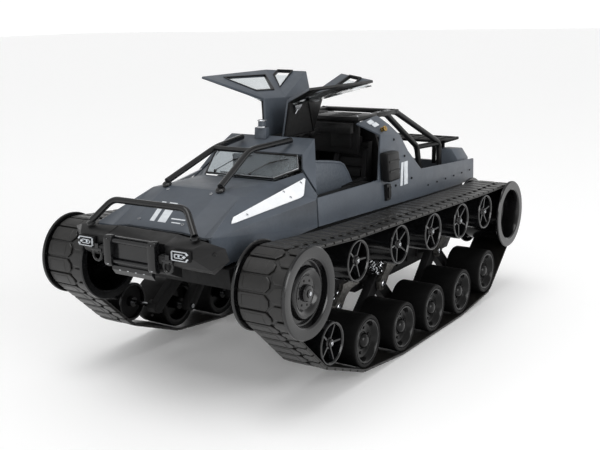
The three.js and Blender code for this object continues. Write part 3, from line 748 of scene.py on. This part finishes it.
def side_plate():
    """The white riveted plate on the hood's side."""
    outline = [(55.6, -193, 143.4), (55.4, -191.6, 144.6), (53.8, -187, 147), (54, -92, 161), (54.4, -88.6, 161.8),
               (55.6, -87.6, 161), (61.6, -101.4, 151.6), (62.6, -104, 150.2), (63, -108, 149.4), (56.6, -189, 143.4)]
    origin, normal = SIDE_FACET

    def on_side(point, lift):
        point = Vector(point)
        return point + Vector((1, 0, 0)) * (normal.dot(origin - point) / normal.x) + normal * lift

    shape = Shape()
    shape.plate([on_side(p, 0.1) for p in outline], normal * 0.7).round_edges(0.25, 40)
    for place in ((56, -173.4, 146.4), (55, -121.2, 155.5), (59.9, -118.5, 151), (55, -96, 159)):
        shape.use(1).screw(on_side(place, 0.8), normal, 1.15, 0.5)
    return shape


pair("side_plate", side_plate, [WHITE, STEEL], "paint")


# ---- Hood markings, windscreen and cabin ---------------------------------------------------------
HOOD_FACET = face_frame(v("noseCentre"), v("kneeCentre"), v("kneeCentre", -1))


def on_hood(x, y, lift=0.0):
    origin, normal = HOOD_FACET
    z = origin.z - ((x - origin.x) * normal.x + (y - origin.y) * normal.y) / normal.z
    return Vector((x, y, z)) + normal * lift


def hood_marks():
    """Plain slanted bars where a number stands on the real hood."""
    shape = Shape()
    for x0, x1, y0, y1, slant in ((-11.4, -6.9, -209, -187, -5.2), (-3.4, 4.6, -209, -187, -5.2),
                                  (6.6, 20.3, -204.6, -203.4, 0), (9.9, 18.6, -208.4, -207.4, 0)):
        outline = [on_hood(x, y, 0.02) for x, y in ((x0, y0), (x1, y0), (x1 + slant, y1), (x0 + slant, y1))]
        shape.plate(outline, HOOD_FACET[1] * 0.12)
    return shape


hood_marks().make("hood_marks", "body", [MARK], "paint")


def hood_fittings():
    shape = Shape()
    for x, y in ((22, -209), (-22, -209), (22, -173), (-22, -173)):
        shape.use(1).screw(on_hood(x, y), HOOD_FACET[1], 1.4, 0.8)
    return shape


hood_fittings().make("hood_fittings", "body", [BLACK, STEEL], "black")

GLASS_FOOT, GLASS_SIDE, GLASS_TOP = (35.5, -105.5, 162.2), (46.6, -84.5, 168), (42.6, -79.5, 178.6)


windscreen = Shape().take("windscreen_glass")
windscreen.make("windscreen_look", "body", [WINDSCREEN], "glass", ["windscreen_glass"])


def windscreen_trim():
    """The black seal round the glass and its bright lower edge, with the wipers."""
    shape = Shape()
    loop = [GLASS_FOOT, GLASS_SIDE, GLASS_TOP]
    ring = [Vector(p) + Vector((0, 0, 0.4)) for p in loop] + [Vector((-p[0], p[1], p[2] + 0.4)) for p in loop[::-1]]
    shape.tube(ring, 0.9, 8, close=True)
    edge = [p + Vector((0, -0.5, 0.9)) for p in ring[:3]]
    shape.use(2).tube([Vector((-22, -106, 163.3))] + edge, 0.35, 6)
    foot, top = Vector(GLASS_FOOT), Vector(GLASS_TOP)
    across = Vector((1, 0, 0))
    normal = across.cross(top - foot).normalized()

    def on_glass(x, rise, lift):
        return Vector((x, foot.y, foot.z)) + (top - foot) * rise - across * (top.x - foot.x) * rise + normal * lift

    for x0, x1, rise in ((-27, -8, 0.72), (10, 30, 0.7)):
        shape.use(1).tube([on_glass(x0, 0.1, 1.4), on_glass((x0 + x1) / 2, 0.5, 2), on_glass(x1, rise, 1.6)], 0.4, 8)
        shape.tube([on_glass(x1 - 10, rise - 0.12, 1.2), on_glass(x1 + 7, rise + 0.12, 1.2)], 0.45, 6)
        shape.dome(on_glass(x0, 0.08, 1), normal, 1.4, 1.2, 12)
    return shape


windscreen_trim().make("windscreen_trim", "body", [BLACK, GLOSS, STEEL], "black")


refined("cabin_interior", DARK, 1.1)


def seats():
    """The bolsters, ribs and head rest of each seat, one hard moulding."""
    shape = Shape()
    for x in (-29, 29):
        for dx in (-17.5, 17.5):
            shape.bar(x + dx - 2.8, x + dx + 2.8, ((-10.5, 137), (-10.5, 142), (32, 137), (30, 145)))
            shape.hull([(x + dx * k + a, y, z) for a in (-2.6, 2.6) for k, y, z in
                        ((1, 26.5, 141), (1, 31, 141), (0.8, 36, 170), (0.8, 42, 172))])
        for k in range(4):
            y = -7 + k * 9
            shape.bar(x - 13.5, x + 13.5, ((y, 138), (y + 8, 138), (y + 1, 140.3), (y + 7, 140.3)))
        for k in range(3):
            z = 144 + k * 9.5
            y = 27.5 + (z - 130) * 0.3
            shape.bar(x - 12.5, x + 12.5, [(y + b + c * 0.3, z + c) for b in (-1.8, 2) for c in (0, 8.2)])
        shape.bar(x - 8, x + 8, ((37, 172), (38, 181), (45, 172), (44, 181)))
    return shape.round_edges(1.0, 30, 2)


seats().make("seat_mouldings", "body", [SEAT], "dark")


def footwell():
    """The grey fairing beside each seat."""
    shape = Shape()
    outline = [(-55.5, 170.5), (-30.4, 167), (-12, 163.6), (-6, 161), (1.6, 152.8), (10, 141), (14.8, 135.5),
               (-54, 137)]
    shape.plate([Vector((42.6, y, z)) for y, z in outline], (2.4, 0, 0)).round_edges(1, 30, 3)
    shape.tube([(44, y, z) for y, z in outline[:7]], 1.5, 8)
    return shape


pair("footwell_fairing", footwell, [PAINT], "paint")


def dashboard():
    shape = Shape()
    shape.bar(-39, 39, ((-82, 158.2), (-74, 155.2), (-82, 160), (-73, 156.8)))
    for x in (22, 29, 36):
        shape.use(1).dome((x, -72.4, 153.6), (0, 1, 0.5), 3, 0.8, 18)
        shape.use(2).dome((x, -71.8, 153.9), (0, 1, 0.5), 2.3, 0.4, 18)
    shape.use(1)
    for x in (-26, -14):
        shape.box(x, x + 9, -70.5, -69.6, 143, 149)
    for x in (-3, 3):
        shape.use(1).rod((x, -30, 136), (x, -27, 149), 0.9, 8)
        shape.dome((x, -27, 149), (0, 0.1, 1), 1.9, 2.2, 12)
    shape.use(3).box(-6, 6, -62, -44, 136.1, 137)
    for x in (-40, -30, 18, 40):
        shape.use(1).box(x, x + 5, -96, -94.5, 128, 136)
    return shape


dashboard().make("dash_fittings", "body", [DARK, GLOSS, LENS, GREEN], "dark")


def steering():
    shape = Shape()
    ring = [(11 * math.cos(a), 11 * math.sin(a), 0) for a in (2 * math.pi * k / 32 for k in range(32))]
    shape.tube(ring, 1.3, 10, close=True)
    for angle in (0.1, math.pi - 0.1, -math.pi / 2):
        shape.hull([(r * math.cos(angle) - w * math.sin(angle), r * math.sin(angle) + w * math.cos(angle), h)
                    for r in (2, 10.6) for w in (-1.2, 1.2) for h in (-0.7, 0.7)])
    shape.dome((0, 0, 0.4), (0, 0, 1), 3.2, 1.6, 16)
    shape.rod((0, 0, -23), (0, 0, 0.5), 1.8, 12)
    turn = Matrix.Translation((29, -48.5, 160)) @ Matrix.Rotation(-1.05, 4, "X")
    bmesh.ops.transform(shape.bm, matrix=turn, verts=shape.bm.verts)
    return shape


steering().make("steering_wheel_look", "body", [BLACK], "black", replaces=["steering_wheel"])


# ---- Doors ---------------------------------------------------------------------------------------
def open_door(shape, side):
    """Swings a shape built on the closed left door to where that side's door stands."""
    x, z = HINGE
    turn = Matrix.Translation((x, 0, z)) @ Matrix.Rotation(-math.radians(DOOR_OPEN[side]), 4, "Y")
    bmesh.ops.transform(shape.bm, matrix=turn @ Matrix.Translation((-x, 0, -z)), verts=shape.bm.verts)
    if side == "right":
        shape.mirror()
    return shape


MAIN_WINDOW = ((65, -60.7, 154.1), (63.2, 0.7, 156), (50.4, -21.2, 179.3), (51.4, -46.7, 178.2),
               (63.2, -60.5, 157.3))
QUARTER_WINDOW = ((62.4, 9.7, 160.3), (66.4, 17, 160.2), (65.1, 21, 173.6), (51.7, -6.7, 177.3))


def door_frames(side):
    """Black frames that stand proud round both windows."""
    shape = Shape()
    for window in (MAIN_WINDOW, QUARTER_WINDOW):
        outline = [Vector(p) for p in window]
        normal = face_frame(*outline[:3])[1]
        if normal.x < 0:
            normal = -normal
        middle = sum(outline, Vector()) / len(outline)
        outer = [p + (p - middle).normalized() * 1.2 for p in outline]
        inner = [p - (p - middle).normalized() * 0.9 for p in outline]
        count = len(outline)
        for i in range(count):
            j = (i + 1) % count
            points = []
            for p in (outer[i], outer[j], inner[i], inner[j]):
                points += [p - normal * 0.4, p + normal * 0.7]
            shape.hull(points)
    return open_door(shape, side)


def door_fittings(side):
    """The roof's lining with its rim, the inner handle, the latch and the hinge's knuckles."""
    shape = Shape()
    roof = [v("hingeFront"), v("headerCorner"), v("roofFold"), v("hingeRear")]
    middle = sum(roof, Vector()) / 4
    under = Vector((0, 0, SKIN + 0.9))
    shape.plate([p.lerp(middle, 0.13) - under for p in roof], (0, 0, 0.7))
    shape.tube([p.lerp(middle, 0.06) - under for p in roof], 1.1, 8, close=True)
    handle = mix((v("headerCorner"), 0.55), (v("roofFold"), 0.4), (v("hingeFront"), 0.05))
    handle -= Vector((2, 0, SKIN + 1.8))
    grip = ((0, -6), (0, 6), (-5, 3), (-5, -3))
    shape.use(1).hull([handle + Vector((a, b, c)) for a, b in grip for c in (-1.6, 0.6)])
    shape.rod(handle + Vector((-4, 0, -1)), handle + Vector((-8, -3, -1)), 0.9, 8)
    latch = mix((v("roofFold"), 0.72), (v("roofCorner"), 0.2), (v("sillRear"), 0.08)) + Vector((-2.72, 0, -2.04))
    shape.hull([latch + Vector((a, b, c)) for a in (-1.5, 2) for b in (-4, 4) for c in (-1.5, 1.5)])
    for y in (-46, -26, -6):
        ends = [(HINGE[0] + 0.6, y + reach, HINGE[1] - 1.6) for reach in (-4, 4)]
        shape.use(0).tube(ends, 1.3, 10)
    return open_door(shape, side)


for side, hand in (("left", 1), ("right", -1)):
    door, window = f"door_{side}", f"door_window_{side}"
    skin = Shape().take(door).round_edges(0.5, 9)
    closed = Matrix.Rotation(math.radians(hand * DOOR_OPEN[side]), 3, "Y")
    for face in skin.bm.faces:
        normal = closed @ face.normal
        face.material_index = int(normal.z < -0.2 or normal.x * hand < -0.5)  # the inside is black
    skin.make(f"{door}_look", door, [PAINT, BLACK], "paint", [door])
    pane = Shape().take(window).round_edges(0.15, 40)
    pane.make(f"{window}_look", door, [GLASS], "glass", [window])
    door_frames(side).make(f"door_frames_{side}", door, [BLACK], "black")
    door_fittings(side).make(f"door_fittings_{side}", door, [DARK, STEEL], "black")


# ---- Front end -----------------------------------------------------------------------------------
def bumper():
    shape = Shape().take("front_bumper").round_edges(0.6, 12)
    for side in (-1, 1):
        shape.screw((side * 69, -231.2, 129.4), (side * 0.5, -1, 0.1), 1.5, 0.8)
        shape.hull([(side * x, y, z) for x in (27, 33.5) for y in (-243.8, -239) for z in (121, 126.5)])
        shape.rod((side * 30, -243, 123.8), (side * 30, -239, 123.8), 4, 14)
    return shape


bumper().make("front_bumper_look", "body", [BLACK], "black", ["front_bumper"])


def shackles():
    shape = Shape()
    for side in (-1, 1):
        x = side * 35.4
        ring = [(x + 4.2 * math.sin(a), -243.2, 119.4 - 4.6 * math.cos(a)) for a in
                (-2.4 + 4.8 * k / 14 for k in range(15))]
        shape.use(0).tube(ring, 1.15, 10)
        shape.rod((x - 5, -243.2, 123.4), (x + 5, -243.2, 123.4), 1.5, 12)
        shape.box(x - 1.8, x + 1.8, -244.4, -238, 121.5, 128)
    return shape


shackles().make("tow_shackles", "body", [GLOSS], "black")


def winch():
    shape = Shape()
    for x0 in (-25.5, 18.5):
        shape.bar(x0, x0 + 7, ((-240.5, 112), (-240.5, 136.5), (-246.8, 115), (-246.8, 133.5), (-245.4, 112.6),
                               (-245.4, 136)))
    shape.round_edges(0.6)
    for x0 in (-25.5, 18.5):
        for z in (115, 133):
            shape.use(1).screw((x0 + 3.5, -246, z), (0, -1, 0), 1.1, 0.6)
    shape.use(2).rod((-19, -243.6, 132.4), (19, -243.6, 132.4), 1.8, 16)
    shape.rod((-19, -243.6, 116.6), (19, -243.6, 116.6), 1.6, 16)
    shape.use(0).box(-19.5, 19.5, -242, -240.5, 113, 135.5)
    shape.bar(-20, 20, ((-240.5, 105.5), (-240.5, 113), (-244, 110), (-244, 113)))
    shape.use(1)
    for x in (-12, -4, 4, 12):
        shape.rod((x, -243.2, 110.6), (x, -243.9, 110.8), 1.1, 10)
    return shape


winch().make("winch_housing_look", "body", [GLOSS, STEEL, GLOSS], "black", ["winch_housing"])


def headlamp():
    shape = Shape()
    shape.box(38.8, 55.6, -243.4, -240.4, 124.5, 132.5)
    shape.round_edges(0.5)
    shape.use(1)
    for x0, x1, z0, z1 in ((39.6, 53.4, 131.5, 132), (39.6, 53.4, 125, 125.5), (39.6, 40.1, 125, 132),
                           (42.3, 50.2, 129.6, 130.1), (42.3, 50.2, 126.9, 127.4), (42.3, 42.8, 126.9, 130.1)):
        shape.box(x0, x1, -244.6, -243.2, z0, z1)
    for outline in (((53, 132), (54.8, 130.4), (53, 130.6), (54.2, 129.6)),
                    ((53, 125), (54.8, 126.6), (53, 126.4), (54.2, 127.4)),
                    ((50, 128.8), (51.4, 129.6), (52.6, 128.5), (51.4, 127.4), (50, 128.2))):
        shape.hull([(x, y, z) for y in (-244.6, -243.2) for x, z in outline])
    shape.use(2).dome((46, -243.4, 128.5), (0, -1, 0), 1.1, 0.8, 12)
    return shape


pair("headlight", headlamp, [DARK, LED, LENS], "lamp", "body", "headlight")


BAR = 2.6


def bull_bar():
    path = bend([(52, -232, 141.6), (37, -222, 158.5), (-37, -222, 158.5), (-52, -232, 141.6)], 6, 7)
    shape = Shape().tube(path, BAR, 16)
    for side in (-1, 1):
        shape.dome((side * 52, -232, 140), (0, -0.2, 1), 3.6, 1.8, 14)
    return shape


bull_bar().make("bull_bar_look", "body", [GLOSS], "gloss", ["bull_bar"])


def guard():
    shape = Shape()
    for side in (-1, 1):
        path = [(side * 27.4, -168, 165.2), (side * 17.8, -113.9, 187), (side * 26.2, -64.5, 189.4)]
        shape.tube(bend(path, 9, 7), BAR, 16)
        shape.dome((side * 27.4, -168, 162.6), HOOD_FACET[1], 4, 2, 14)
    shape.tube([(-18.2, -115.6, 186.4), (18.2, -115.6, 186.4)], BAR - 0.3, 14)
    return shape


guard().make("windscreen_guard_look", "body", [GLOSS], "gloss", ["windscreen_guard"])


# ---- Roof, rails and rear ------------------------------------------------------------------------
def cage():
    shape = Shape()
    for y0, y1 in ((24.6, 62), (99, 107)):
        shape.box(-43, 43, y0, y1, 196.8, 201)
    for side in (-1, 1):
        shape.box(side * 34, side * 43, 60, 101, 196.8, 201)
        for k in range(5):
            shape.box(side * 8, side * 30, 29 + k * 6, 31.5 + k * 6, 200.6, 201.6)
    shape.round_edges(0.9)
    for side in (-1, 1):
        front = bend([(side * 38.5, 80, 198.8), (side * 38.5, 88, 197.6), (side * 39.5, 156, 157),
                      (side * 42, 160, 121.5)], 6, 5)
        rear = bend([(side * 39.5, 98, 199), (side * 40, 106, 198), (side * 47, 194, 157),
                     (side * 47, 196, 119.5)], 6, 5)
        shape.tube(front, 3, 14)
        shape.tube(rear, 3, 14)
        shape.tube([(side * 39.5, 156, 156.4), (side * 47, 194, 156.4)], 2.7, 14)
        shape.box(side * 41, side * 53, 190, 202, 119.2, 121.2)
        shape.box(side * 37, side * 48, 154, 166, 120.9, 122.9)
        for y in (30, 56, 70, 90, 103):
            shape.use(1).screw((side * 39, y, 200.9), (0, 0, 1), 1.2, 0.6)
        shape.use(0)
    return shape


cage().make("roll_cage_look", "body", [BLACK, STEEL], "gloss", ["roll_cage"])


def cabin_back():
    """The dark lining between the cabin and the bed, up to the roof plate."""
    shape = Shape()
    shape.bar(-40, 40, ((29, 166), (27.5, 196.4), (34, 166), (34, 196.4)))
    for side in (-1, 1):
        shape.box(side * 12, side * 34, 26.4, 28.6, 172, 190)
    return shape.round_edges(0.8)


cabin_back().make("cabin_back_lining", "body", [DARK], "dark")


def deck():
    shape = Shape().take("rear_deck").round_edges(0.7)
    for k in range(6):
        y = 132 + k * 9
        shape.use(1).bar(-24, 24, ((y, 138), (y + 4.5, 138), (y + 1, 141), (y + 3.5, 141)))
    shape.use(0)
    for side in (-1, 1):
        for y in (212, 222):
            shape.box(side * 63.4, side * 64.6, y, y + 3, 121, 136)
        for y in (110, 150, 190):
            shape.use(2).screw((side * 61, y, 122.4 - (y - 62) * 0.0523 + 2.2), (0, 0, 1), 1.4, 0.8)
        for z in (120, 126):
            shape.use(3).box(side * 44, side * 60, 236.9, 238, z, z + 3.4)
        shape.use(0)
    shape.use(1).box(-30, 30, 236.8, 238.2, 115, 128)
    return shape


deck().make("rear_deck_look", "body", [PAINT, BLACK, STEEL, RED], "paint", ["rear_deck"])


def rack():
    shape = Shape()
    shape.box(-51, 51, 200, 238, 155.6, 157.4)
    for x0, x1, y0, y1 in ((-51, 51, 200, 203), (-51, 51, 235, 238), (-51, -48, 200, 238), (48, 51, 200, 238)):
        shape.box(x0, x1, y0, y1, 155.5, 158.5)
    for k in range(7):
        x = -39 + k * 12
        shape.box(x, x + 6, 204, 234, 157.2, 158.2)
    for x in (-34, 34):
        for y in (209, 232):
            shape.box(x - 2, x + 2, y, y + 3, 131.4, 156)
        shape.box(x - 2, x + 2, 209, 235, 131.4, 134)
    return shape.round_edges(0.5)


rack().make("rear_rack_look", "body", [DARK], "dark", ["rear_rack"])


def side_box():
    shape = Shape().take("side_box_left").round_edges(2.2, 30, 3)
    for z in (152, 161):
        shape.hull([(x + (170 - z) * 0.06 - 0.4, y, z + a) for x in (77.4, 78) for y in (21, 40) for a in (0, 1.6)])
    shape.box(69.4, 72.2, 26.5, 34.5, 124.5, 139.5)
    shape.box(72, 73.4, 28, 33, 127, 137)
    return shape


pair("side_box", side_box, [BLACK], "black", "body", "side_box")


def side_marks():
    """Plain bars where a number stands, light plates, a brass fitting and screws."""
    shape = Shape()
    panel = BVHTree.FromBMesh(Shape().take("side_panel_left").bm)
    out = Vector((1, 0, 0))

    def on_panel(y, z):
        place, normal = panel.ray_cast(Vector((90, y, z)), -out)[:2]
        return place + normal * 0.1

    for y0, y1, lean in ((59, 63.6, 6), (67, 74.5, 4)):
        for k in range(6):
            z0, z1, lean0, lean1 = 133 + 3.6 * k, 136.6 + 3.6 * k, lean * k / 6, lean * (k + 1) / 6
            shape.plate([on_panel(y0 + lean0, z0), on_panel(y1 + lean0, z0), on_panel(y1 + lean1, z1),
                         on_panel(y0 + lean1, z1)], out * 0.4)
    for t, u in ((0.3, 0.35), (0.52, 0.3)):
        middle = mix(((44.5, 20, 196.5), 1 - t), ((64.2, 28.5, 186), t)) + Vector((0, 8 + 10 * u, 2.4))
        across = Vector((0.8, 0.1, -0.55)).normalized() * 2.2
        ahead = Vector((0.15, 1, 0.25)).normalized() * 3.4
        shape.plate([middle + across + ahead, middle - across + ahead, middle - across - ahead,
                     middle + across - ahead], Vector((0.5, -0.1, 0.8)) * 0.4)
    shape.use(2)
    for y, z in ((54, 178), (73, 160), (84, 137), (50, 135)):
        shape.screw(on_panel(y, z), out, 1.2, 0.7)
    shape.use(1).rod((62.5, 33, 189.5), (66.4, 33, 191), 2.2, 12)
    shape.dome((66.2, 33, 190.9), (1, 0, 0.35), 2.8, 1.4, 12)
    return shape


pair("side_marks", side_marks, [MARK, BRASS, DARK], "paint")


def skirt_fittings():
    """Screws along the body's lower edge, and the sill rail under the door."""
    shape = Shape()
    for k in range(6):
        shape.screw((69.9, 120 + k * 21, 124.5), (1, 0, 0), 1, 0.5)
    shape.use(1).box(54, 61, -84, 12, 142, 144)
    return shape


pair("skirt_fittings", skirt_fittings, [BLACK, DARK], "paint")


def snorkel():
    shape = Shape().take("snorkel").round_edges(0.7)
    shape.use(1)
    turns = [math.pi * k / 10 for k in range(20)]
    ring = [(-9 + 3.5 * math.cos(a), -57.5 + 3.5 * math.sin(a), 204.2) for a in turns]
    shape.tube(ring, 0.7, 8, close=True)
    shape.rod((-9, -57.5, 198), (-9, -57.5, 199.2), 4.2, 16)
    return shape


snorkel().make("snorkel_look", "body", [PAINT, STEEL], "paint", ["snorkel"])


# ---- Floor, lights and camera ----------------------------------------------------------------------
SKY = 0.55


def stage():
    mesh = bpy.data.meshes.new("floor")
    reach = 12
    corners = ((-reach, -reach), (reach, -reach), (reach, reach), (-reach, reach))
    mesh.from_pydata([(x, y, -0.0002) for x, y in corners], [], [(0, 1, 2, 3)])
    floor = bpy.data.objects.new("floor", mesh)
    bpy.context.scene.collection.objects.link(floor)
    n = Nodes("floor_paper")
    n.put(n.shader.inputs["Base Color"], n.mix(n.noise(3), (0.93, 0.93, 0.93, 1), (0.95, 0.95, 0.95, 1)))
    n.shader.inputs["Roughness"].default_value = 0.55
    n.shader.inputs["Emission Color"].default_value = (1, 1, 1, 1)
    n.shader.inputs["Emission Strength"].default_value = 0.12
    mesh.materials.append(n.material)
    world = bpy.data.worlds.new("studio")
    bpy.context.scene.world = world
    world.use_nodes = True
    tree = world.node_tree
    background = tree.nodes["Background"]
    background.inputs["Color"].default_value = (1, 1, 1, 1)
    where = tree.nodes.new("ShaderNodeTexCoord").outputs["Generated"]
    height = tree.nodes.new("ShaderNodeSeparateXYZ")
    tree.links.new(where, height.inputs["Vector"])
    fall = tree.nodes.new("ShaderNodeMapRange")
    tree.links.new(height.outputs["Z"], fall.inputs["Value"])
    for key, value in (("From Min", 0.12), ("From Max", 0.4), ("To Min", 1.1), ("To Max", SKY)):
        fall.inputs[key].default_value = value
    tree.links.new(fall.outputs["Result"], background.inputs["Strength"])
    bpy.context.scene.view_settings.view_transform = "Standard"


def sun(name, direction, spread, strength):
    data = bpy.data.lights.new(name, "SUN")
    data.energy = strength
    data.angle = math.radians(spread)
    light = bpy.data.objects.new(name, data)
    light.rotation_euler = Vector(direction).to_track_quat("-Z", "Y").to_euler()
    bpy.context.scene.collection.objects.link(light)


def lamp(name, place, target, size, power):
    data = bpy.data.lights.new(name, "AREA")
    data.shape = "RECTANGLE"
    data.size, data.size_y = size
    data.energy = power
    light = bpy.data.objects.new(name, data)
    light.location = place
    light.rotation_euler = (Vector(target) - Vector(place)).to_track_quat("-Z", "Y").to_euler()
    bpy.context.scene.collection.objects.link(light)


def camera():
    azimuth, elevation, roll = (math.radians(a) for a in (35.82, 12.17, 1.306))
    ahead = Vector((-math.sin(azimuth) * math.cos(elevation), math.cos(azimuth) * math.cos(elevation),
                    -math.sin(elevation)))
    right = Vector((math.cos(azimuth), math.sin(azimuth), 0))
    down = ahead.cross(right)
    across = right * math.cos(roll) + down * math.sin(roll)
    below = down * math.cos(roll) - right * math.sin(roll)
    data = bpy.data.cameras.new("camera")
    data.lens, data.sensor_width = 56.87, 36
    data.shift_x, data.shift_y = 0.0843, -0.0137
    data.clip_start = 0.01
    seen = bpy.data.objects.new("camera", data)
    seen.matrix_world = Matrix((
        (across.x, -below.x, -ahead.x, 0.4732), (across.y, -below.y, -ahead.y, -0.7477),
        (across.z, -below.z, -ahead.z, 0.2984), (0, 0, 0, 1),
    ))
    bpy.context.scene.collection.objects.link(seen)
    bpy.context.scene.camera = seen


stage()
sun("soft_sun", (0.1, 0.2, -1), 40, 0.9)
lamp("key", (-0.9, -1.1, 1.5), (0, 0, 0.1), (1.2, 1.2), 1.5)
lamp("side", (1.55, -0.5, 0.7), (0, 0, 0.1), (1.0, 0.8), 11)
camera()
